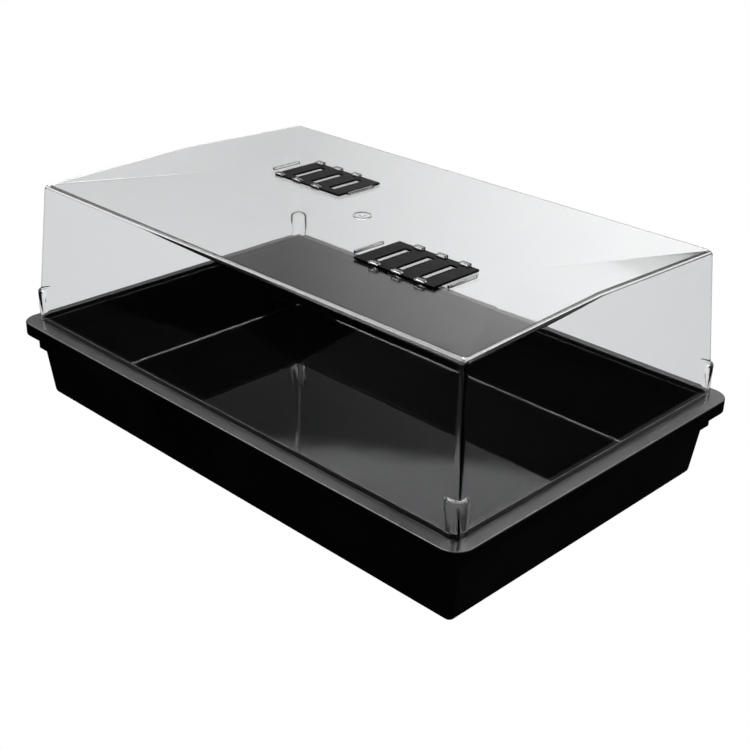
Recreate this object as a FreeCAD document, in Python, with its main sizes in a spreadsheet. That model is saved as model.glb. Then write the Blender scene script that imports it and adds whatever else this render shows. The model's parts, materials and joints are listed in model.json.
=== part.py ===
import FreeCAD
import Part
import Sketcher
import math
import os
import re

# A black moulded tray with a clear lift-off dome. Two grilles slide on the dome's roof and open or shut
# the slots under them. Millimetres, +Z up, +X along the length, origin under the middle of the tray.

doc = FreeCAD.newDocument("humidity_dome_tray")

values = {
    # tray
    "tray_length": 590.0,      # over the rim
    "tray_width": 386.0,
    "rim_height": 82.0,        # top of the flat rim above the ground
    "rim_corner": 18.0,        # plan radius of the rim
    "rim_thickness": 2.4,
    "lip_drop": 13.0,          # height of the turned-down edge
    "lip_thickness": 2.2,
    "wall_inset": 12.8,        # outside of the wall, in from the rim's edge, at rim height
    "foot_inset": 20.6,        # the same just above the ground
    "wall_corner": 7.0,
    "well_inset": 23.4,        # inside of the wall at the floor
    "well_corner": 7.0,
    "floor_thickness": 2.4,
    "floor_bevel": 3.5,        # eased edge round the floor, inside
    "foot_bevel": 3.5,         # and under the foot
    "shoulder_length": 17.0,   # stacking shoulder under the rim at each corner
    "shoulder_inset": 11.8,
    "shoulder_drop": 31.0,     # its lower end, down from the rim's top
    "bead_height": 4.2,        # bead round the well that centres the dome
    "bead_thickness": 1.7,
    # dome
    "dome_inset": 13.4,        # outside of the dome at the rim, in from the rim's edge
    "dome_lean": 12.2,         # how much further in the dome is at its eaves
    "dome_height": 142.5,      # rim to roof
    "dome_corner": 6.0,
    "dome_wall": 1.8,
    "dome_gap": 0.4,           # dome to bead, at the bead's top
    "crest_rise": 5.6,         # low gable at each short end
    "crest_run": 84.0,         # how far it reaches in along the roof
    "boss_radius": 9.75,       # upright round corners low on the dome, proud of its leaning walls
    "boss_inset": 22.8,
    "boss_height": 34.0,
    "gate_radius": 9.0,        # moulding gate in the middle of the roof
    "gate_height": 0.8,
    # vents: sliding grille, hooks, end stops and roof slots
    "front_vent_x": 117.5,     # vent centres from the middle of the roof, front right and rear left
    "front_vent_y": 56.3,
    "rear_vent_x": 104.5,
    "rear_vent_y": 49.0,
    "grille_length": 91.0,
    "grille_width": 56.6,
    "grille_thickness": 2.2,
    "slot_width": 11.5,
    "slot_length": 38.5,
    "slot_pitch": 26.0,
    "vent_travel": 12.5,       # whole slide of a grille
    "slide_gap": 0.3,          # clearance round a grille
    "hook_width": 9.5,
    "hook_reach": 3.0,         # how far a hook covers the grille's edge
    "hook_thickness": 1.6,
    "stop_width": 2.6,
    "stop_length": 35.0,
    "stop_height": 2.4,
    "front_vent_place": 8.0,   # how far the front grille is from its inner end stop
}

sheet = doc.addObject("Spreadsheet::Sheet", "sizes")
for row, (alias, number) in enumerate(values.items(), start=1):
    sheet.set(f"A{row}", alias)
    sheet.set(f"B{row}", str(number))
    sheet.setAlias(f"B{row}", alias)
doc.recompute()


def bound(text):
    """Turn a sum of cell names into an expression on the sheet."""
    return re.sub(r"[a-z]+(?:_[a-z]+)+", lambda match: "sizes." + match.group(0), text)


def bind(target, prop, text):
    target.setExpression(prop, bound(text))


def plane_of(body, role):
    return next(item for item in body.Origin.OriginFeatures if item.Role == role)


def sketch_in(body, name, role, level="0"):
    """An empty sketch on one of the body's own planes, raised by level."""
    sketch = body.newObject("Sketcher::SketchObject", name)
    sketch.AttachmentSupport = [(plane_of(body, role), "")]
    sketch.MapMode = "FlatFace"
    bind(sketch, "AttachmentOffset.Base.z", level)
    return sketch


def pin_point(sketch, geometry, point, x, y):
    """Tie one point of the sketch to the origin by two bound distances."""
    for kind, text in (("DistanceX", x), ("DistanceY", y)):
        index = sketch.addConstraint(Sketcher.Constraint(kind, -1, 1, geometry, point, 10.0))
        bind(sketch, f"Constraints[{index}]", text)


def polygon(body, name, role, points):
    """A closed outline of straight edges through bound points."""
    sketch = sketch_in(body, name, role)
    start = [FreeCAD.Vector(*point) for point in ring_points(len(points))]
    for index, point in enumerate(start):
        sketch.addGeometry(Part.LineSegment(point, start[(index + 1) % len(start)]))
    for index in range(len(points)):
        following = (index + 1) % len(points)
        sketch.addConstraint(Sketcher.Constraint("Coincident", index, 2, following, 1))
    for index, (x, y) in enumerate(points):
        pin_point(sketch, index, 1, x, y)
    return sketch


def ring_points(count):
    """Evenly spaced starting points for an outline, before its distances are set."""
    circle = Part.Circle(FreeCAD.Vector(0, 0, 0), FreeCAD.Vector(0, 0, 1), 100.0)
    step = circle.length() / count
    return [circle.value(circle.parameterAtDistance(step * index, 0.0)) for index in range(count)]


def rounded_rectangle(body, name, level, length, width, radius):
    """A rounded rectangle about the origin, on a level plane."""
    sketch = sketch_in(body, name, "XY_Plane", level)
    a, b, r = 280.0, 180.0, 8.0
    corners = [(a, b, 0), (-a, b, 1), (-a, -b, 2), (a, -b, 3)]
    for x, y, quarter in corners:
        centre = FreeCAD.Vector(x - r * (1 if x > 0 else -1), y - r * (1 if y > 0 else -1), 0)
        circle = Part.Circle(centre, FreeCAD.Vector(0, 0, 1), r)
        sketch.addGeometry(Part.ArcOfCircle(circle, quarter * math.pi / 2, (quarter + 1) * math.pi / 2))
    sides = [((a - r, b), (r - a, b)), ((-a, b - r), (-a, r - b)),
             ((r - a, -b), (a - r, -b)), ((a, r - b), (a, b - r))]
    for first, second in sides:
        sketch.addGeometry(Part.LineSegment(FreeCAD.Vector(*first, 0), FreeCAD.Vector(*second, 0)))
    for corner in range(4):
        side = 4 + corner
        sketch.addConstraint(Sketcher.Constraint("Tangent", corner, 2, side, 1))
        sketch.addConstraint(Sketcher.Constraint("Tangent", side, 2, (corner + 1) % 4, 1))
    for corner in range(3):
        sketch.addConstraint(Sketcher.Constraint("Equal", corner, corner + 1))
    for side, kind in ((4, "Horizontal"), (6, "Horizontal"), (5, "Vertical"), (7, "Vertical")):
        sketch.addConstraint(Sketcher.Constraint(kind, side))
    sketch.addConstraint(Sketcher.Constraint("Symmetric", 0, 3, 2, 3, -1, 1))
    for kind, first, second, text in (("DistanceX", 5, 7, length), ("DistanceY", 6, 4, width)):
        index = sketch.addConstraint(Sketcher.Constraint(kind, first, 1, second, 1, 300.0))
        bind(sketch, f"Constraints[{index}]", text)
    index = sketch.addConstraint(Sketcher.Constraint("Radius", 0, r))
    bind(sketch, f"Constraints[{index}]", radius)
    return sketch


def inset_rectangle(body, name, level, inset, radius):
    """The tray's outline moved in by inset."""
    length = f"tray_length - 2 * ({inset})"
    width = f"tray_width - 2 * ({inset})"
    return rounded_rectangle(body, name, level, length, width, radius)


def pad(body, sketch, height):
    feature = body.newObject("PartDesign::Pad", sketch.Name + "_pad")
    feature.Profile = sketch
    bind(feature, "Length", height)
    return feature


def loft(body, outlines):
    """A straight-sided loft up through level outlines."""
    feature = body.newObject("PartDesign::AdditiveLoft", outlines[0].Name + "_loft")
    feature.Profile = outlines[0]
    feature.Sections = outlines[1:]
    feature.Ruled = True
    return feature


def slice_above(body, sketch):
    """Cut the body away wherever the outline covers it, on both sides of the sketch."""
    feature = body.newObject("PartDesign::Pocket", sketch.Name + "_cut")
    feature.Profile = sketch
    feature.SideType = "Symmetric"
    bind(feature, "Length", "tray_length * 3")
    return feature


def box(name, corner, size):
    """A Part box from its lowest corner and its size, all bound to the sheet."""
    piece = doc.addObject("Part::Box", name)
    for axis, text in zip("xyz", corner):
        bind(piece, "Placement.Base." + axis, text)
    for prop, text in zip(("Length", "Width", "Height"), size):
        bind(piece, prop, text)
    return piece


def cylinder(name, centre, radius, height):
    piece = doc.addObject("Part::Cylinder", name)
    for axis, text in zip("xyz", centre):
        bind(piece, "Placement.Base." + axis, text)
    bind(piece, "Radius", radius)
    bind(piece, "Height", height)
    return piece


def fuse(name, pieces):
    result = doc.addObject("Part::MultiFuse", name)
    result.Shapes = pieces
    return result


def cut(name, base, tool):
    result = doc.addObject("Part::Cut", name)
    result.Base = base
    result.Tool = tool
    return result


corners = [(1, 1), (-1, 1), (-1, -1), (1, -1)]
bead_inset = "dome_inset + dome_wall + dome_gap + dome_lean * bead_height / dome_height"
hook_depth = "hook_reach + slide_gap + hook_thickness"


# ---- tray: rim, lip, tapered wall, corner shoulders and the bead that centres the dome
def make_tray():
    shell = doc.addObject("PartDesign::Body", "tray_shell")
    foot = inset_rectangle(shell, "foot_outline", "0", "foot_inset + foot_bevel", "wall_corner")
    knee = inset_rectangle(shell, "knee_outline", "foot_bevel", "foot_inset", "wall_corner")
    wall = inset_rectangle(shell, "wall_outline", "rim_height", "wall_inset", "wall_corner")
    loft(shell, [foot, knee, wall])
    rim = inset_rectangle(shell, "rim_outline", "rim_height - rim_thickness", "0", "rim_corner")
    pad(shell, rim, "rim_thickness")
    bead = inset_rectangle(shell, "bead_outline", "rim_height", bead_inset, "dome_corner")
    pad(shell, bead, "bead_height")

    well = doc.addObject("PartDesign::Body", "tray_well")
    floor = inset_rectangle(well, "floor_outline", "floor_thickness", "well_inset + floor_bevel", "well_corner")
    base = inset_rectangle(well, "well_outline", "floor_thickness + floor_bevel", "well_inset", "well_corner")
    mouth = inset_rectangle(well, "mouth_outline", "rim_height + bead_height",
                            bead_inset + " + bead_thickness", "dome_corner")
    loft(well, [floor, base, mouth])

    lip = doc.addObject("PartDesign::Body", "tray_lip")
    lip_outline = inset_rectangle(lip, "lip_outline", "rim_height - lip_drop", "0", "rim_corner")
    pad(lip, lip_outline, "lip_drop")
    hollow = doc.addObject("PartDesign::Body", "lip_hollow")
    hollow_outline = inset_rectangle(hollow, "hollow_outline", "rim_height - lip_drop - 1", "lip_thickness",
                                     "rim_corner - lip_thickness")
    pad(hollow, hollow_outline, "lip_drop - rim_thickness + 1")
    edge = cut("turned_edge", lip, hollow)

    shoulders = []
    for index, (x, y) in enumerate(corners):
        sides = []
        for half, sign in (("tray_length / 2", x), ("tray_width / 2", y)):
            outer = f"{half} - shoulder_inset"
            sides.append(f"{outer} - shoulder_length" if sign > 0 else f"0 - ({outer})")
        block = box(f"shoulder_{index}", sides + ["rim_height - shoulder_drop"],
                    ("shoulder_length", "shoulder_length", "shoulder_drop - rim_thickness / 2"))
        shoulders.append(block)
    blank = fuse("tray_blank", [shell, edge] + shoulders)
    tray = cut("tray_part", blank, well)
    return tray


# ---- dome: a thin tapered cover with a gable at each short end
def roof_form(name, skin):
    """The dome's solid shape, moved in by skin."""
    form = doc.addObject("PartDesign::Body", name)
    top = "dome_height + crest_rise"
    base_inset = f"dome_inset + {skin}"
    top_inset = f"dome_inset + dome_lean * ({top}) / dome_height + {skin}"
    radius = f"dome_corner - {skin}"
    low = inset_rectangle(form, name + "_base", "rim_height", base_inset, radius)
    high = inset_rectangle(form, name + "_top", f"rim_height + {top}", top_inset, radius)
    loft(form, [low, high])
    roof = f"rim_height + dome_height - {skin}"
    above = f"rim_height + dome_height + crest_rise * 2"
    end = f"tray_length / 2 - ({top_inset}) + {skin}"
    side = f"tray_width / 2 - dome_inset - dome_lean"
    far = "tray_length"
    rise = polygon(form, name + "_rise", "XZ_Plane", [
        (f"0 - ({end}) + crest_run", roof), (f"{end} - crest_run", roof),
        (end, f"{roof} + crest_rise"), (far, f"{roof} + crest_rise"), (far, above),
        (f"0 - {far}", above), (f"0 - {far}", f"{roof} + crest_rise"),
        (f"0 - ({end})", f"{roof} + crest_rise")])
    slice_above(form, rise)
    gable = polygon(form, name + "_gable", "YZ_Plane", [
        (f"0 - ({side})", roof), ("0", f"{roof} + crest_rise"), (side, roof),
        (far, roof), (far, above), (f"0 - {far}", above), (f"0 - {far}", roof)])
    slice_above(form, gable)
    return form


def corner_bosses(name, skin):
    """A round post at each corner of the dome, moved in by skin."""
    posts = []
    for index, (x, y) in enumerate(corners):
        centre = (f"{x} * (tray_length / 2 - boss_inset)", f"{y} * (tray_width / 2 - boss_inset)", "rim_height")
        posts.append(cylinder(f"{name}_{index}", centre, f"boss_radius - {skin}", f"boss_height - {skin}"))
    return posts


def vent_details(label, side):
    """Stops, hooks and roof slots of one vent; side is 1 at the front right, -1 at the rear left."""
    roof = "rim_height + dome_height"
    x = f"{side} * {label}_vent_x"
    y = f"{-side} * {label}_vent_y"
    solids = []
    for end in (-1, 1):
        near = f"{x} + {end} * ((grille_length + vent_travel) / 2 + slide_gap) - {int(end < 0)} * stop_width"
        corner = (near, f"{y} - stop_length / 2", roof + " - dome_wall / 2")
        solids.append(box(f"{label}_stop_{end + 1}", corner,
                          ("stop_width", "stop_length", "stop_height + dome_wall / 2")))
    slots = []
    for place in (-1, 0, 1):
        middle = f"{x} + {side} * vent_travel / 2 + {place} * slot_pitch"
        slots.append(box(f"{label}_slot_{place + 1}",
                         (middle + " - slot_width / 2", f"{y} - slot_length / 2", roof + " - dome_wall * 2"),
                         ("slot_width", "slot_length", "dome_wall * 3")))
        for row in (-1, 1):
            name = f"{label}_hook_{place + 1}_{row + 1}"
            wall = f"{y} + {row} * (grille_width / 2 + slide_gap) - {int(row < 0)} * hook_thickness"
            reach = f"{y} + {row} * (grille_width / 2 - hook_reach) - {int(row < 0)} * ({hook_depth})"
            left = middle + " - hook_width / 2"
            under = "grille_thickness + slide_gap * 2"
            solids.append(box(name + "_post", (left, wall, roof + " - dome_wall / 2"),
                              ("hook_width", "hook_thickness", f"dome_wall / 2 + {under} + hook_thickness")))
            solids.append(box(name + "_lip", (left, reach, f"{roof} + {under}"),
                              ("hook_width", hook_depth, "hook_thickness")))
    return solids, slots


def make_dome():
    outer = fuse("dome_outer", [roof_form("cover", "0")] + corner_bosses("boss", "0"))
    inner = fuse("dome_inner", [roof_form("space", "dome_wall")] + corner_bosses("boss_bore", "dome_wall"))
    shell = cut("dome_shell", outer, inner)
    front_solids, front_slots = vent_details("front", 1)
    rear_solids, rear_slots = vent_details("rear", -1)
    gate = cylinder("gate", ("0", "0", "rim_height + dome_height - dome_wall / 2"),
                    "gate_radius", "gate_height + dome_wall / 2")
    whole = fuse("dome_whole", [shell, gate] + front_solids + rear_solids)
    return cut("dome_part", whole, fuse("roof_slots", front_slots + rear_slots))


# ---- grilles: a flat plate with three slots, the bars between them shut the roof's slots
def make_grille(label, side, place):
    """side as for the vent; place is how far the plate stands from the vent's middle, along +X."""
    x = f"{side} * {label}_vent_x + {place}"
    y = f"{-side} * {label}_vent_y"
    level = "rim_height + dome_height + slide_gap"
    plate = box(label + "_grille_plate", (f"{x} - grille_length / 2", f"{y} - grille_width / 2", level),
                ("grille_length", "grille_width", "grille_thickness"))
    slots = []
    for step in (-1, 0, 1):
        slots.append(box(f"{label}_grille_slot_{step + 1}",
                         (f"{x} + {step} * slot_pitch - slot_width / 2", f"{y} - slot_length / 2", level + " - 1"),
                         ("slot_width", "slot_length", "grille_thickness + 2")))
    return cut(label + "_grille", plate, fuse(label + "_grille_slots", slots))


parts = {
    "tray": make_tray(),
    "dome": make_dome(),
    "rear_vent_grille": make_grille("rear", -1, "vent_travel / 2"),
    "front_vent_grille": make_grille("front", 1, "front_vent_place - vent_travel / 2"),
}
doc.recompute()

for item in doc.Objects:
    if "Invalid" in item.State or "Error" in item.State:
        raise RuntimeError(f"{item.Name} failed: {item.State}")
for node, item in parts.items():
    item.Label = node
    shape = item.Shape
    if shape.isNull() or not shape.isValid() or len(shape.Solids) != 1:
        raise RuntimeError(f"{node} is not one sound solid")

os.makedirs("parts", exist_ok=True)
for node, item in parts.items():
    item.Shape.exportStep(os.path.join("parts", node + ".step"))
    box_of = item.Shape.BoundBox
    print(f"{node}: {item.Shape.Volume / 1000:.1f} cm3, x {box_of.XMin:.2f} to {box_of.XMax:.2f}, "
          f"y {box_of.YMin:.2f} to {box_of.YMax:.2f}, z {box_of.ZMin:.2f} to {box_of.ZMax:.2f}")
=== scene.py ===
import json
import math

import bpy
from mathutils import Matrix, Vector


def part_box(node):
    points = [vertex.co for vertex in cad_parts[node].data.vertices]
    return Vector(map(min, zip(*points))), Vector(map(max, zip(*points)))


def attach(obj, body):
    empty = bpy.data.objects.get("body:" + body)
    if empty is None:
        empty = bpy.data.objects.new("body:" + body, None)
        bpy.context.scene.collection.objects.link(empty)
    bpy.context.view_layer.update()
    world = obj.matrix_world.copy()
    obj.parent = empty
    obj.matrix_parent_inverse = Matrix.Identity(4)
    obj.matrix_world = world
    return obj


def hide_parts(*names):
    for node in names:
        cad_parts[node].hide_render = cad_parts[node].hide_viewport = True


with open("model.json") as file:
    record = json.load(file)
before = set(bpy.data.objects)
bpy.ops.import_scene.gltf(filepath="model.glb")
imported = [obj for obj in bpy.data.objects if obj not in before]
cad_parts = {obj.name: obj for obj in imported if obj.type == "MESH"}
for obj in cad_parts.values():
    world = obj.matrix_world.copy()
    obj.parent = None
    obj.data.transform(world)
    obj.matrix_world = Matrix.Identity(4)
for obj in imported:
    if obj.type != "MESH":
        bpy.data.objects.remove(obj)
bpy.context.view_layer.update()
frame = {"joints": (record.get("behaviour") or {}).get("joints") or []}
bpy.ops.object.select_all(action="DESELECT")
print("frame loaded")

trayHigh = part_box("tray")[1]
halfLength = trayHigh.x
halfWidth = trayHigh.y
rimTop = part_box("dome")[0].z
cornerSigns = ((-1, -1), (1, -1), (1, 1), (-1, 1))
nearEnough = 0.00002  # places closer than this are the same place


# ways of working that every piece uses
def editPiece(piece, kind="VERT"):
    bpy.ops.object.select_all(action="DESELECT")
    piece.select_set(True)
    bpy.context.view_layer.objects.active = piece
    bpy.ops.object.mode_set(mode="EDIT")
    bpy.ops.mesh.select_mode(type=kind)
    bpy.ops.mesh.select_all(action="DESELECT")


def leaveEdit():
    bpy.ops.object.mode_set(mode="OBJECT")


def emptyPiece(name):
    bpy.ops.mesh.primitive_plane_add(size=1)
    piece = bpy.context.object
    piece.name = name
    piece.data.name = name
    editPiece(piece)
    bpy.ops.mesh.select_all(action="SELECT")
    bpy.ops.mesh.delete(type="VERT")
    leaveEdit()
    return piece


def pickFaces(piece, test):
    # called in edit mode; test gets a face's centre and normal
    bpy.ops.mesh.select_mode(type="FACE")
    bpy.ops.mesh.select_all(action="DESELECT")
    bpy.ops.object.mode_set(mode="OBJECT")
    for face in piece.data.polygons:
        face.select = bool(test(face.center, face.normal))
    bpy.ops.object.mode_set(mode="EDIT")


def pickEdges(piece, test):
    # called in edit mode; test gets an edge's two ends
    bpy.ops.mesh.select_mode(type="EDGE")
    bpy.ops.mesh.select_all(action="DESELECT")
    bpy.ops.object.mode_set(mode="OBJECT")
    points = piece.data.vertices
    for edge in piece.data.edges:
        edge.select = bool(test(points[edge.vertices[0]].co, points[edge.vertices[1]].co))
    bpy.ops.object.mode_set(mode="EDIT")


def pickPoints(piece, test):
    # called in edit mode; test gets a vertex's place
    bpy.ops.mesh.select_mode(type="VERT")
    bpy.ops.mesh.select_all(action="DESELECT")
    bpy.ops.object.mode_set(mode="OBJECT")
    for point in piece.data.vertices:
        point.select = bool(test(point.co))
    bpy.ops.object.mode_set(mode="EDIT")


def pickRings(piece, rings):
    bpy.ops.mesh.select_mode(type="EDGE")
    bpy.ops.mesh.select_all(action="DESELECT")
    for ring in rings:
        bpy.ops.object.vertex_group_set_active(group=ring)
        bpy.ops.object.vertex_group_select()


def addRing(name, inset, corner, height, steps):
    # a rounded rectangle, that far in from the rim's outer edge
    bpy.ops.mesh.primitive_plane_add(size=2, location=(0, 0, height))
    size = (halfLength - inset, halfWidth - inset, 1)
    bpy.ops.transform.resize(value=size, center_override=(0, 0, height))
    bpy.ops.mesh.select_mode(type="VERT")
    bpy.ops.mesh.bevel(offset=corner, segments=steps, affect="VERTICES")
    group = bpy.context.object.vertex_groups.new(name=name)
    bpy.ops.object.vertex_group_set_active(group=group.name)
    bpy.ops.object.vertex_group_assign()
    bpy.ops.mesh.delete(type="ONLY_FACE")


def stackRings(name, rings, steps=10):
    # a closed form skinned over rings from first to last, capped at both;
    # the rings are bridged while they stand well apart, then each goes to its own height
    piece = emptyPiece(name)
    editPiece(piece)
    apart = 0.2
    for place, (ring, (inset, corner, height)) in enumerate(rings.items()):
        addRing(ring, inset, corner, place * apart, steps)
    names = list(rings)
    for lower, upper in zip(names, names[1:]):
        pickRings(piece, (lower, upper))
        bpy.ops.mesh.bridge_edge_loops()
    for cap in (names[0], names[-1]):
        pickRings(piece, (cap,))
        bpy.ops.mesh.edge_face_add()
    for place, (ring, (inset, corner, height)) in enumerate(rings.items()):
        pickRings(piece, (ring,))
        bpy.ops.transform.translate(value=(0, 0, height - place * apart))
    bpy.ops.mesh.select_all(action="SELECT")
    bpy.ops.mesh.normals_make_consistent(inside=False)
    leaveEdit()
    return piece


def roundRings(piece, rounds, segments):
    # rounds the edges of the named rings, each by its own radius
    widest = max(rounds.values())
    editPiece(piece, "EDGE")
    for ring, radius in rounds.items():
        pickRings(piece, (ring,))
        bpy.ops.transform.edge_bevelweight(value=radius / widest)
    bpy.ops.object.vertex_group_remove(all=True)
    leaveEdit()
    ease = piece.modifiers.new("ease", "BEVEL")
    ease.limit_method = "WEIGHT"
    ease.width = widest
    ease.segments = segments
    ease.use_clamp_overlap = False
    bpy.ops.object.modifier_apply(modifier=ease.name)


def blockPiece(name, low, high, rounding=0.0, segments=2):
    # a box between two corners, its edges eased
    middle = [(a + b) / 2 for a, b in zip(low, high)]
    bpy.ops.mesh.primitive_cube_add(size=1, location=middle)
    piece = bpy.context.object
    piece.name = name
    piece.data.name = name
    piece.scale = [b - a for a, b in zip(low, high)]
    bpy.ops.object.transform_apply(location=True, rotation=True, scale=True)
    if rounding:
        editPiece(piece, "EDGE")
        bpy.ops.mesh.select_all(action="SELECT")
        bpy.ops.mesh.bevel(offset=rounding, segments=segments, affect="EDGES")
        leaveEdit()
    return piece


def joinPieces(pieces):
    bpy.ops.object.select_all(action="DESELECT")
    for piece in pieces:
        piece.select_set(True)
    bpy.context.view_layer.objects.active = pieces[0]
    bpy.ops.object.join()
    return bpy.context.object


def combine(piece, tool, operation):
    # boolean with a tool piece, which is used up
    bpy.ops.object.select_all(action="DESELECT")
    piece.select_set(True)
    bpy.context.view_layer.objects.active = piece
    step = piece.modifiers.new("combine", "BOOLEAN")
    step.object = tool
    step.operation = operation
    step.solver = "EXACT"
    bpy.ops.object.modifier_apply(modifier=step.name)
    bpy.data.objects.remove(tool)


def smoothPiece(piece, angle=40):
    bpy.ops.object.select_all(action="DESELECT")
    piece.select_set(True)
    bpy.context.view_layer.objects.active = piece
    bpy.ops.object.shade_smooth_by_angle(angle=math.radians(angle))
    weigh = piece.modifiers.new("evenShade", "WEIGHTED_NORMAL")
    weigh.keep_sharp = True
    bpy.ops.object.modifier_apply(modifier=weigh.name)


# materials: node helpers
def newMaterial(name):
    material = bpy.data.materials.new(name)
    material.use_nodes = True
    material.node_tree.nodes.clear()
    return material


def addNode(material, kind, place, settings=None, values=None):
    node = material.node_tree.nodes.new(kind)
    node.location = place
    for setting, value in (settings or {}).items():
        setattr(node, setting, value)
    for socket, value in (values or {}).items():
        node.inputs[socket].default_value = value
    return node


def wire(material, source, output, target, socket):
    material.node_tree.links.new(source.outputs[output], target.inputs[socket])


# black tray plastic: glossy and faintly wavy inside, satin from the rim up where it is handled
trayPlastic = {
    "deep": (0.0004, 0.0004, 0.0005, 1),
    "worn": (0.0016, 0.0017, 0.0020, 1),
    "patchScale": 9.0,
    "smooth": 0.012,
    "rough": 0.05,
    "grainScale": 900.0,
    "grainDepth": 0.000004,
    "waveScale": 16.0,
    "waveDepth": 0.00008,
    "scratchScale": 60.0,
    "scratchShare": 0.3,
    "ior": 1.5,
    "specular": 0.5,
    "satinFrom": rimTop - 0.0006,
    "satinBlend": 0.0004,
    "satin": 0.26,
}


def moulding(name, look):
    material = newMaterial(name)
    place = addNode(material, "ShaderNodeTexCoord", (-1300, 0))
    patches = addNode(material, "ShaderNodeTexNoise", (-1000, 300), None,
                      {"Scale": look["patchScale"], "Detail": 6.0, "Roughness": 0.62})
    wire(material, place, "Object", patches, "Vector")
    tone = addNode(material, "ShaderNodeValToRGB", (-700, 400))
    tone.color_ramp.elements[0].color = look["deep"]
    tone.color_ramp.elements[0].position = 0.35
    tone.color_ramp.elements[1].color = look["worn"]
    tone.color_ramp.elements[1].position = 0.75
    wire(material, patches, "Fac", tone, "Fac")
    stretch = addNode(material, "ShaderNodeMapping", (-1150, -100), None, {"Scale": (1.0, 7.0, 2.0)})
    wire(material, place, "Object", stretch, "Vector")
    marks = addNode(material, "ShaderNodeTexNoise", (-1000, 0), None,
                    {"Scale": look["scratchScale"], "Detail": 8.0, "Roughness": 0.7})
    wire(material, stretch, "Vector", marks, "Vector")
    blendMarks = addNode(material, "ShaderNodeMix", (-700, 50), {"data_type": "FLOAT"},
                         {0: look["scratchShare"]})
    wire(material, patches, "Fac", blendMarks, 2)
    wire(material, marks, "Fac", blendMarks, 3)
    gloss = addNode(material, "ShaderNodeMapRange", (-500, 50), None,
                    {"From Min": 0.3, "From Max": 0.7, "To Min": look["smooth"], "To Max": look["rough"]})
    wire(material, blendMarks, 0, gloss, "Value")
    apart = addNode(material, "ShaderNodeSeparateXYZ", (-1000, 150))
    wire(material, place, "Object", apart, "Vector")
    handled = addNode(material, "ShaderNodeMapRange", (-700, 200), None,
                      {"From Min": look["satinFrom"], "From Max": look["satinFrom"] + look["satinBlend"]})
    wire(material, apart, "Z", handled, "Value")
    satin = addNode(material, "ShaderNodeMath", (-500, 300), {"operation": "MULTIPLY"}, {1: look["satin"]})
    wire(material, handled, "Result", satin, 0)
    finish = addNode(material, "ShaderNodeMath", (-350, 200), {"operation": "ADD"})
    wire(material, gloss, "Result", finish, 0)
    wire(material, satin, 0, finish, 1)
    grain = addNode(material, "ShaderNodeTexNoise", (-1000, -300), None,
                    {"Scale": look["grainScale"], "Detail": 2.0})
    wire(material, place, "Object", grain, "Vector")
    waves = addNode(material, "ShaderNodeTexNoise", (-1000, -560), None,
                    {"Scale": look["waveScale"], "Detail": 1.0})
    wire(material, place, "Object", waves, "Vector")
    waveBump = addNode(material, "ShaderNodeBump", (-700, -560), None,
                       {"Strength": 1.0, "Distance": look["waveDepth"]})
    wire(material, waves, "Fac", waveBump, "Height")
    grainBump = addNode(material, "ShaderNodeBump", (-450, -350), None,
                        {"Strength": 1.0, "Distance": look["grainDepth"]})
    wire(material, grain, "Fac", grainBump, "Height")
    wire(material, waveBump, "Normal", grainBump, "Normal")
    surface = addNode(material, "ShaderNodeBsdfPrincipled", (-150, 200), None,
                      {"IOR": look["ior"], "Specular IOR Level": look["specular"]})
    wire(material, tone, "Color", surface, "Base Color")
    wire(material, finish, 0, surface, "Roughness")
    wire(material, grainBump, "Normal", surface, "Normal")
    output = addNode(material, "ShaderNodeOutputMaterial", (150, 200))
    wire(material, surface, "BSDF", output, "Surface")
    return material


# clear dome plastic: almost colourless, faintly wavy, rubbed in patches
clearPlastic = {
    "tint": (0.922, 0.926, 0.932, 1),
    "ior": 1.5,
    "smooth": 0.0,
    "rubbed": 0.035,
    "rubScale": 14.0,
    "waveScale": 11.0,
    "waveDepth": 0.0004,
}


def clearSheet(name, look):
    material = newMaterial(name)
    place = addNode(material, "ShaderNodeTexCoord", (-1300, 0))
    rubs = addNode(material, "ShaderNodeTexNoise", (-1050, 0), None,
                   {"Scale": look["rubScale"], "Detail": 7.0, "Roughness": 0.65})
    wire(material, place, "Object", rubs, "Vector")
    gloss = addNode(material, "ShaderNodeMapRange", (-750, 0), None,
                    {"From Min": 0.45, "From Max": 0.75, "To Min": look["smooth"], "To Max": look["rubbed"]})
    wire(material, rubs, "Fac", gloss, "Value")
    waves = addNode(material, "ShaderNodeTexNoise", (-1050, -300), None,
                    {"Scale": look["waveScale"], "Detail": 1.5})
    wire(material, place, "Object", waves, "Vector")
    bump = addNode(material, "ShaderNodeBump", (-750, -300), None,
                   {"Strength": 1.0, "Distance": look["waveDepth"]})
    wire(material, waves, "Fac", bump, "Height")
    surface = addNode(material, "ShaderNodeBsdfPrincipled", (-300, 200), None,
                      {"Base Color": look["tint"], "IOR": look["ior"], "Transmission Weight": 1.0})
    wire(material, gloss, "Result", surface, "Roughness")
    wire(material, bump, "Normal", surface, "Normal")
    output = addNode(material, "ShaderNodeOutputMaterial", (0, 200))
    wire(material, surface, "BSDF", output, "Surface")
    return material


# black grille plastic: the same, duller, with finer marks and no satin rim
grillePlastic = dict(
    trayPlastic,
    deep=(0.0006, 0.0006, 0.0007, 1),
    worn=(0.003, 0.003, 0.0033, 1),
    smooth=0.08,
    rough=0.2,
    patchScale=60.0,
    waveScale=90.0,
    waveDepth=0.0002,
    specular=0.04,
    satin=0.0,
)

trayMaterial = moulding("trayPlastic", trayPlastic)
domeMaterial = clearSheet("clearPlastic", clearPlastic)
grilleMaterial = moulding("grillePlastic", grillePlastic)
print("materials made")


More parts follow.
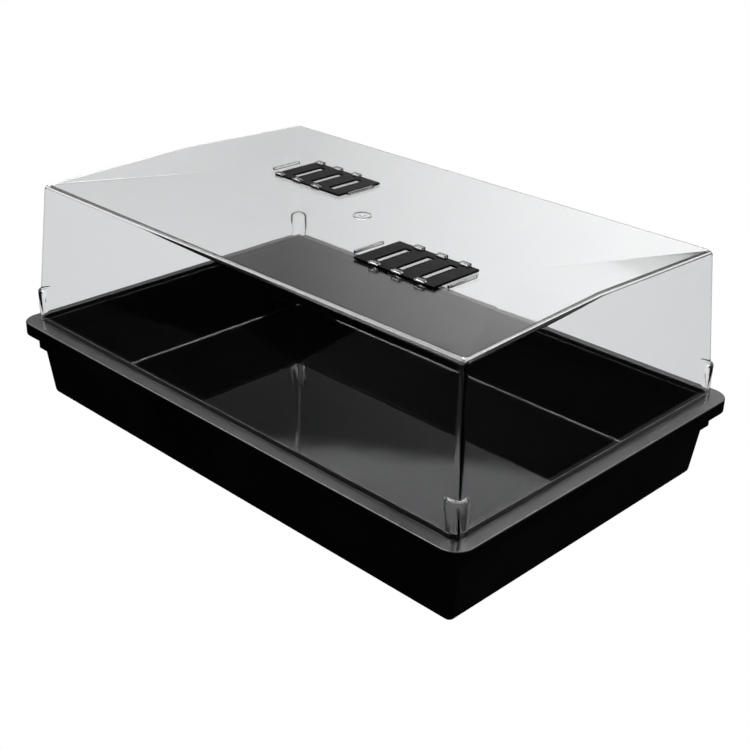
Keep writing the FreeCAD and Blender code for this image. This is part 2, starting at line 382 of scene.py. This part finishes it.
# tray: foot, tapered walls, turned-down rim, centring bead and well, skinned over rings
tray = {
    "footInset": 0.0209, "wallInset": 0.0128, "wallCorner": 0.006,
    "rimCorner": 0.018, "rimThickness": 0.0024, "lipDrop": 0.013, "lipThickness": 0.0022,
    "beadInset": 0.01595, "beadLean": 0.0003, "beadHeight": trayHigh.z - rimTop, "beadThickness": 0.0014,
    "innerCorner": 0.005, "ledgeDrop": 0.0008, "ledgeWidth": 0.0009, "ledgeInset": 0.0184,
    "floorInset": 0.0233, "floorThickness": 0.0024, "wallBury": 0.0008,
    "shoulderInset": 0.0118, "shoulderLength": 0.017, "shoulderLow": 0.051, "shoulderBury": 0.0006,
    "shoulderCorner": 0.0045, "shoulderRound": 0.0008,
    "rounds": {"foot": 0.0055, "floor": 0.0024, "rimOuter": 0.0016, "lipOuter": 0.0005,
               "beadOuter": 0.0005, "beadInner": 0.0005, "ledge": 0.0004, "wallTop": 0.0010},
}


def makeTray(size):
    underRim = rimTop - size["rimThickness"]
    lipLow = rimTop - size["lipDrop"]
    innerLip = size["lipThickness"]
    beadTop = rimTop + size["beadHeight"]
    wallCorner = size["wallCorner"]
    innerCorner = size["innerCorner"]
    ledgeHeight = rimTop - size["ledgeDrop"]
    rings = {
        "foot": (size["footInset"], wallCorner, 0.0),
        "wallTop": (size["wallInset"], wallCorner, underRim),
        "lipRoot": (innerLip, size["rimCorner"] - innerLip, underRim),
        "lipInner": (innerLip, size["rimCorner"] - innerLip, lipLow),
        "lipOuter": (0.0, size["rimCorner"], lipLow),
        "rimOuter": (0.0, size["rimCorner"], rimTop),
        "beadFoot": (size["beadInset"], wallCorner, rimTop),
        "beadOuter": (size["beadInset"] + size["beadLean"], wallCorner, beadTop),
        "beadInner": (size["beadInset"] + size["beadThickness"], innerCorner, beadTop),
        "ledgeRoot": (size["ledgeInset"] - size["ledgeWidth"], innerCorner, ledgeHeight),
        "ledge": (size["ledgeInset"], innerCorner, ledgeHeight),
        "floor": (size["floorInset"], wallCorner, size["floorThickness"]),
    }
    piece = stackRings("trayMoulding", rings)
    roundRings(piece, size["rounds"], 4)
    shoulders = []
    for signX, signY in cornerSigns:
        farX = signX * (halfLength - size["shoulderInset"])
        farY = signY * (halfWidth - size["shoulderInset"])
        far = Vector((farX, farY))
        near = far - Vector((signX, signY)) * size["shoulderLength"]
        low = (min(far.x, near.x), min(far.y, near.y), size["shoulderLow"])
        high = (max(far.x, near.x), max(far.y, near.y), underRim + size["shoulderBury"])
        shoulder = blockPiece("shoulder", low, high)
        editPiece(shoulder, "EDGE")
        pickEdges(shoulder, lambda a, b: max((a.xy - far).length, (b.xy - far).length) < nearEnough)
        bpy.ops.mesh.bevel(offset=size["shoulderCorner"], segments=6, affect="EDGES")
        pickEdges(shoulder, lambda a, b: max(a.z, b.z) < size["shoulderLow"] + nearEnough)
        bpy.ops.mesh.bevel(offset=size["shoulderRound"], segments=2, affect="EDGES")
        leaveEdit()
        shoulders.append(shoulder)
    stepped = joinPieces(shoulders)
    buried = size["wallBury"]
    well = stackRings("wellSpace", {
        "floor": (size["floorInset"] - buried, wallCorner, size["floorThickness"]),
        "ledge": (size["ledgeInset"] - buried, wallCorner, rimTop)})
    combine(stepped, well, "DIFFERENCE")
    combine(piece, stepped, "UNION")
    smoothPiece(piece)
    piece.data.materials.clear()
    piece.data.materials.append(trayMaterial)
    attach(piece, "tray")
    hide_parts("tray")


makeTray(tray)
print("tray made")


# dome: tapered cover, low gable at each short end, upright round post at each corner
dome = {
    "inset": 0.0134, "lean": 0.0122, "height": 0.1425, "wall": 0.0018, "openPast": 0.002,
    "corner": 0.0056, "innerCorner": 0.0014, "edgeRound": 0.0045, "innerEdge": 0.0012,
    "crestRise": 0.0056, "crestRun": 0.084, "eavesSlack": 0.0003,
    "postRadius": 0.00975, "postInset": 0.0228, "postHeight": 0.034, "postWall": 0.0028,
    "postRound": 0.0022, "postInnerRound": 0.00076,
    "gateRadius": 0.009, "gateHeight": 0.0008, "gateRim": 0.0014, "gateSlope": 0.0004,
    "gateSink": 0.0006, "gateDish": 0.0045, "gateRise": 0.0005,
}


def splitRoof(piece, size, end, side, roof):
    # cuts along the middle and along both creases of each gable, then lifts the gable's peak
    run = size["crestRun"]
    pickFaces(piece, lambda centre, normal: normal.z > 0.9)
    bpy.ops.mesh.bisect(plane_co=(0, 0, roof), plane_no=(0, 1, 0))
    for half in (1, -1):
        for signX in (-1, 1):
            pickFaces(piece, lambda centre, normal: normal.z > 0.9 and centre.y * half > nearEnough)
            crease = (side, -signX * half * run, 0)
            bpy.ops.mesh.bisect(plane_co=(signX * (end - run), 0, roof), plane_no=crease)
    rise = size["crestRise"]
    for signX in (-1, 1):
        peak = Vector((signX * end, 0))
        pickPoints(piece, lambda p: (p.xy - peak).length < nearEnough * 5)
        bpy.ops.transform.translate(value=(-signX * rise * size["lean"] / size["height"], 0, rise))


def domeForm(name, size, skin):
    # the cover's outer form, or with a skin the space inside it
    roof = rimTop + size["height"] - skin
    base = rimTop - (size["openPast"] if skin else 0.0)
    slope = size["lean"] / size["height"]
    corner = size["innerCorner"] if skin else size["corner"]
    edgeRound = size["innerEdge"] if skin else size["edgeRound"]
    postRound = size["postInnerRound"] if skin else size["postRound"]
    postRadius = size["postRadius"] - (size["postWall"] if skin else 0.0)
    baseInset = size["inset"] + skin + (base - rimTop) * slope
    roofInset = size["inset"] + size["lean"] + skin * (1 - slope)
    piece = stackRings(name, {"base": (baseInset, corner, base), "eaves": (roofInset, corner, roof)})
    end = halfLength - roofInset
    side = halfWidth - roofInset
    editPiece(piece, "FACE")
    splitRoof(piece, size, end, side, roof)
    peakLean = size["crestRise"] * slope + size["eavesSlack"]

    def onEaves(p):
        return p.z > roof - nearEnough and (
            abs(abs(p.x) - end) < peakLean or abs(abs(p.y) - side) < nearEnough
            or (abs(p.x) > end - corner and abs(p.y) > side - corner))

    pickEdges(piece, lambda a, b: onEaves(a) and onEaves(b))
    bpy.ops.mesh.bevel(offset=edgeRound, segments=5, affect="EDGES", clamp_overlap=False)
    bpy.ops.object.vertex_group_remove(all=True)
    leaveEdit()
    posts = []
    for signX, signY in cornerSigns:
        top = rimTop + size["postHeight"] - skin
        postX = signX * (halfLength - size["postInset"])
        postY = signY * (halfWidth - size["postInset"])
        bpy.ops.mesh.primitive_cylinder_add(vertices=48, radius=postRadius, depth=top - base,
                                            location=(postX, postY, (base + top) / 2))
        post = bpy.context.object
        bpy.ops.object.transform_apply(location=True, rotation=True, scale=True)
        editPiece(post, "EDGE")
        pickEdges(post, lambda a, b: min(a.z, b.z) > top - nearEnough)
        bpy.ops.mesh.bevel(offset=postRound, segments=4, affect="EDGES")
        leaveEdit()
        posts.append(post)
    combine(piece, joinPieces(posts), "UNION")
    return piece


# vents: hooks, end stops and slots on the roof, one set for each sliding grille
vent = {
    "slotPitch": 0.026, "slotWidth": 0.0115, "slotLength": 0.0385,
    "hookWidth": 0.0095, "hookReach": 0.003, "hookThickness": 0.0016, "hookRound": 0.0003,
    "stopWidth": 0.0026, "stopLength": 0.035, "stopHeight": 0.0024, "stopRound": 0.0005,
    "gap": 0.0003, "travel": 0.0125,
}


def ventPlaces(grille, joint):
    # the vent's middle, and the middles of its roof slots, from the grille's place and travel
    low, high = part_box(grille)
    limits = next(j["range_m"] for j in frame["joints"] if j["name"] == joint)
    middle = Vector(((low.x + high.x) / 2 + sum(limits) / 2, (low.y + high.y) / 2))
    side = math.copysign(1, middle.x)
    slots = [middle.x + side * vent["travel"] / 2 + step * vent["slotPitch"] for step in (-1, 0, 1)]
    return low, high, middle, slots


vents = [
    ventPlaces("front_vent_grille", "front_vent_slide"),
    ventPlaces("rear_vent_grille", "rear_vent_slide"),
]


def makeHook(size, x, edge, row, roof, plateTop):
    # an upright with a lip turned in over the grille's edge
    lipLow = plateTop + size["gap"]
    lipHigh = lipLow + size["hookThickness"]
    wallNear = edge + row * size["gap"]
    wallFar = wallNear + row * size["hookThickness"]
    low = (x - size["hookWidth"] / 2, min(wallNear, wallFar), roof)
    high = (x + size["hookWidth"] / 2, max(wallNear, wallFar), lipHigh)
    hook = blockPiece("hook", low, high)
    editPiece(hook, "FACE")
    bpy.ops.mesh.select_all(action="SELECT")
    bpy.ops.mesh.bisect(plane_co=(0, 0, lipLow), plane_no=(0, 0, 1))
    pickFaces(hook, lambda centre, normal: normal.y * row < -0.9 and centre.z > lipLow)
    reach = size["hookReach"] + size["gap"]
    bpy.ops.mesh.extrude_region_move(TRANSFORM_OT_translate={"value": (0, -row * reach, 0)})
    bpy.ops.mesh.select_all(action="SELECT")
    bpy.ops.mesh.normals_make_consistent(inside=False)

    def onCut(p):
        # the level cut leaves a line across the upright's flat outer face
        return abs(p.z - lipLow) < nearEnough and abs(p.y - wallFar) < nearEnough

    pickEdges(hook, lambda a, b: min(a.z, b.z) > roof + nearEnough and not (onCut(a) and onCut(b)))
    bpy.ops.mesh.bevel(offset=size["hookRound"], segments=2, affect="EDGES")
    leaveEdit()
    return hook


def makeGate(size, low, high):
    # the round mark that the mould's feed leaves: a rim, a sunken ring and a raised middle
    bpy.ops.mesh.primitive_cylinder_add(vertices=64, radius=size["gateRadius"], depth=high - low,
                                        location=(0, 0, (low + high) / 2))
    gate = bpy.context.object
    bpy.ops.object.transform_apply(location=True, rotation=True, scale=True)
    editPiece(gate, "FACE")
    pickFaces(gate, lambda centre, normal: normal.z > 0.9)
    bpy.ops.mesh.inset(thickness=size["gateRim"], depth=0)
    bpy.ops.mesh.inset(thickness=size["gateSlope"], depth=-size["gateSink"])
    bpy.ops.mesh.inset(thickness=size["gateDish"], depth=0)
    bpy.ops.mesh.inset(thickness=size["gateSlope"], depth=size["gateRise"])
    leaveEdit()
    return gate


def makeDome(size):
    roof = rimTop + size["height"]
    piece = domeForm("domeShell", size, 0.0)
    combine(piece, domeForm("domeSpace", size, size["wall"]), "DIFFERENCE")
    print("dome shell made")
    details = []
    cutters = []
    sunk = roof - size["wall"] / 2
    for low, high, middle, slots in vents:
        for x in slots:
            slotLow = (x - vent["slotWidth"] / 2, middle.y - vent["slotLength"] / 2, roof - size["wall"] * 2)
            slotHigh = (x + vent["slotWidth"] / 2, middle.y + vent["slotLength"] / 2, roof + size["wall"])
            cutters.append(blockPiece("roofSlot", slotLow, slotHigh))
            for row, edge in ((-1, low.y), (1, high.y)):
                details.append(makeHook(vent, x, edge, row, sunk, high.z))
        span = (high.x - low.x + vent["travel"]) / 2 + vent["gap"]
        for end in (-1, 1):
            near = middle.x + end * span
            far = near + end * vent["stopWidth"]
            stopLow = (min(near, far), middle.y - vent["stopLength"] / 2, sunk)
            stopHigh = (max(near, far), middle.y + vent["stopLength"] / 2, roof + vent["stopHeight"])
            details.append(blockPiece("stop", stopLow, stopHigh, vent["stopRound"]))
    details.append(makeGate(size, sunk, roof + size["gateHeight"]))
    combine(piece, joinPieces(details), "UNION")
    combine(piece, joinPieces(cutters), "DIFFERENCE")
    smoothPiece(piece)
    piece.data.materials.clear()
    piece.data.materials.append(domeMaterial)
    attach(piece, "dome")
    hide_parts("dome")


makeDome(dome)
print("dome made")


# grilles: flat plate with three slots, its edges eased
grille = {"slotWidth": 0.0085, "cutPast": 0.001, "edgeRound": 0.0003}


def makeGrille(name, body, low, high, middleY):
    middleX = (low.x + high.x) / 2
    plate = blockPiece(name, low, high)
    cutters = []
    for step in (-1, 0, 1):
        x = middleX + step * vent["slotPitch"]
        halfSlot = grille["slotWidth"] / 2
        slotLow = (x - halfSlot, middleY - vent["slotLength"] / 2, low.z - grille["cutPast"])
        slotHigh = (x + halfSlot, middleY + vent["slotLength"] / 2, high.z + grille["cutPast"])
        cutters.append(blockPiece("slot", slotLow, slotHigh))
    combine(plate, joinPieces(cutters), "DIFFERENCE")
    ease = plate.modifiers.new("ease", "BEVEL")
    ease.width = grille["edgeRound"]
    ease.segments = 2
    bpy.ops.object.select_all(action="DESELECT")
    plate.select_set(True)
    bpy.context.view_layer.objects.active = plate
    bpy.ops.object.modifier_apply(modifier=ease.name)
    smoothPiece(plate)
    plate.data.materials.clear()
    plate.data.materials.append(grilleMaterial)
    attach(plate, body)
    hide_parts(body + "_grille")


for name, (low, high, middle, slots) in zip(("front_vent", "rear_vent"), vents):
    makeGrille(name + "Plate", name, low, high, middle.y)
print("grilles made")


# floor: white to the camera, nearly black once a reflection has come between
ground = {"size": 60, "drop": 0.0005, "seen": 1.0, "reflected": 0.01}


def makeFloor(look):
    bpy.ops.mesh.primitive_plane_add(size=look["size"], location=(0, 0, -look["drop"]))
    floor = bpy.context.object
    floor.name = "studioFloor"
    pale = newMaterial("paleFloor")
    path = addNode(pale, "ShaderNodeLightPath", (-400, 200))
    lit = addNode(pale, "ShaderNodeMapRange", (-200, 200), None,
                  {"From Min": 0.0, "From Max": 1.0, "To Min": look["seen"], "To Max": look["reflected"]})
    wire(pale, path, "Glossy Depth", lit, "Value")
    glow = addNode(pale, "ShaderNodeEmission", (0, 200), None, {"Color": (1, 1, 1, 1)})
    wire(pale, lit, "Result", glow, "Strength")
    output = addNode(pale, "ShaderNodeOutputMaterial", (200, 200))
    wire(pale, glow, 0, output, "Surface")
    floor.data.materials.append(pale)
    floor.visible_glossy = False


makeFloor(ground)


camera = {
    "azimuth": 43.8533, "elevation": 26.0755, "distance": 1.2757, "roll": 1.5289,
    "target": Vector((0.00944, 0.00903, 0.06136)), "lens": 62.78, "shift": 0.0036,
}


def makeCamera(look):
    turn = math.radians(look["azimuth"])
    tilt = math.radians(look["elevation"])
    roll = math.radians(look["roll"])
    back = Vector((math.sin(turn) * math.cos(tilt), -math.cos(turn) * math.cos(tilt), math.sin(tilt)))
    level = Vector((math.cos(turn), math.sin(turn), 0))
    upright = back.cross(level)
    right = level * math.cos(roll) + upright * math.sin(roll)
    up = upright * math.cos(roll) - level * math.sin(roll)
    data = bpy.data.cameras.new("studioCamera")
    data.lens = look["lens"]
    data.sensor_width = 36
    data.shift_x = look["shift"]
    made = bpy.data.objects.new("studioCamera", data)
    bpy.context.scene.collection.objects.link(made)
    turned = Matrix((right, up, back)).transposed().to_4x4()
    made.matrix_world = Matrix.Translation(look["target"] + back * look["distance"]) @ turned
    bpy.context.scene.camera = made
    return back


towardCamera = makeCamera(camera)

# studio, in reflections only: a low card behind the tray, brighter to the right and dim along its top,
# a bright card above it, a wide softbox overhead, and dark in front and below; angles in degrees
light = {
    "low": 0.01, "lowFrom": -0.02, "lowFull": 0.03,
    "front": 0.08, "back": 1.0, "frontFull": -0.3, "backFull": 0.5,
    "lowCardLeft": 0.38, "lowCardRight": 1.3, "cardLeft": -4.0, "cardRight": 11.0,
    "seam": 0.42, "seamFrom": 24.6, "seamFull": 25.8,
    "highCard": 1.7, "cardStep": 29.4, "cardTilt": 3.3, "cardBlend": 0.004,
    "overhead": 5.0, "overheadFrom": 36.0, "overheadFull": 46.0,
}


def sine(degrees):
    return math.sin(math.radians(degrees))


def makeWorld(look):
    world = bpy.data.worlds.new("studioWorld")
    bpy.context.scene.world = world
    world.use_nodes = True
    world.node_tree.nodes.clear()
    place = addNode(world, "ShaderNodeTexCoord", (-1200, 0))
    away = -Vector((towardCamera.x, towardCamera.y, 0)).normalized()
    sideways = Vector((-away.y, away.x, 0))
    tilt = math.radians(look["cardTilt"])
    cardUp = Vector((0, 0, 1)) * math.cos(tilt) + sideways * math.sin(tilt)

    def along(direction, row):
        dot = addNode(world, "ShaderNodeVectorMath", (-950, row), {"operation": "DOT_PRODUCT"},
                      {1: direction})
        wire(world, place, "Generated", dot, 0)
        return dot

    def ramp(source, row, low, high, fromValue, toValue):
        made = addNode(world, "ShaderNodeMapRange", (-700, row), None,
                       {"From Min": low, "From Max": high, "To Min": fromValue, "To Max": toValue})
        wire(world, source, "Value", made, "Value")
        return made

    def times(first, second, row):
        made = addNode(world, "ShaderNodeMath", (-450, row), {"operation": "MULTIPLY"})
        wire(world, first, 0, made, 0)
        wire(world, second, 0, made, 1)
        return made

    step = sine(look["cardStep"])
    blend = look["cardBlend"]
    upright = along((0, 0, 1), -200)
    lowCard = ramp(along(-sideways, 400), 400, sine(look["cardLeft"]), sine(look["cardRight"]),
                   look["lowCardLeft"], look["lowCardRight"])
    seam = ramp(upright, 600, sine(look["seamFrom"]), sine(look["seamFull"]), 1.0, look["seam"])
    cards = ramp(along(cardUp, 0), 0, step - blend, step + blend, 0.0, look["highCard"])
    wire(world, times(lowCard, seam, 500), 0, cards, "To Min")
    behind = ramp(along(away, 200), 200, look["frontFull"], look["backFull"],
                  look["front"], look["back"])
    above = ramp(upright, -200, look["lowFrom"], look["lowFull"], look["low"], 1.0)
    overhead = ramp(upright, -450, sine(look["overheadFrom"]), sine(look["overheadFull"]),
                    1.0, look["overhead"])
    level = times(times(cards, behind, 100), times(above, overhead, -300), -100)
    path = addNode(world, "ShaderNodeLightPath", (-450, 400))
    bounces = addNode(world, "ShaderNodeMath", (-250, 400), {"operation": "ADD", "use_clamp": True})
    wire(world, path, "Glossy Depth", bounces, 0)
    wire(world, path, "Diffuse Depth", bounces, 1)
    whole = addNode(world, "ShaderNodeMix", (-50, 100), {"data_type": "FLOAT"}, {2: 1.0})
    wire(world, bounces, 0, whole, 0)
    wire(world, level, 0, whole, 3)
    glowing = addNode(world, "ShaderNodeBackground", (150, 0), None, {"Color": (1, 1, 1, 1)})
    wire(world, whole, 0, glowing, "Strength")
    output = addNode(world, "ShaderNodeOutputWorld", (350, 0))
    wire(world, glowing, 0, output, "Surface")


makeWorld(light)
bpy.context.scene.view_settings.view_transform = "Standard"
print("floor, light and camera placed")
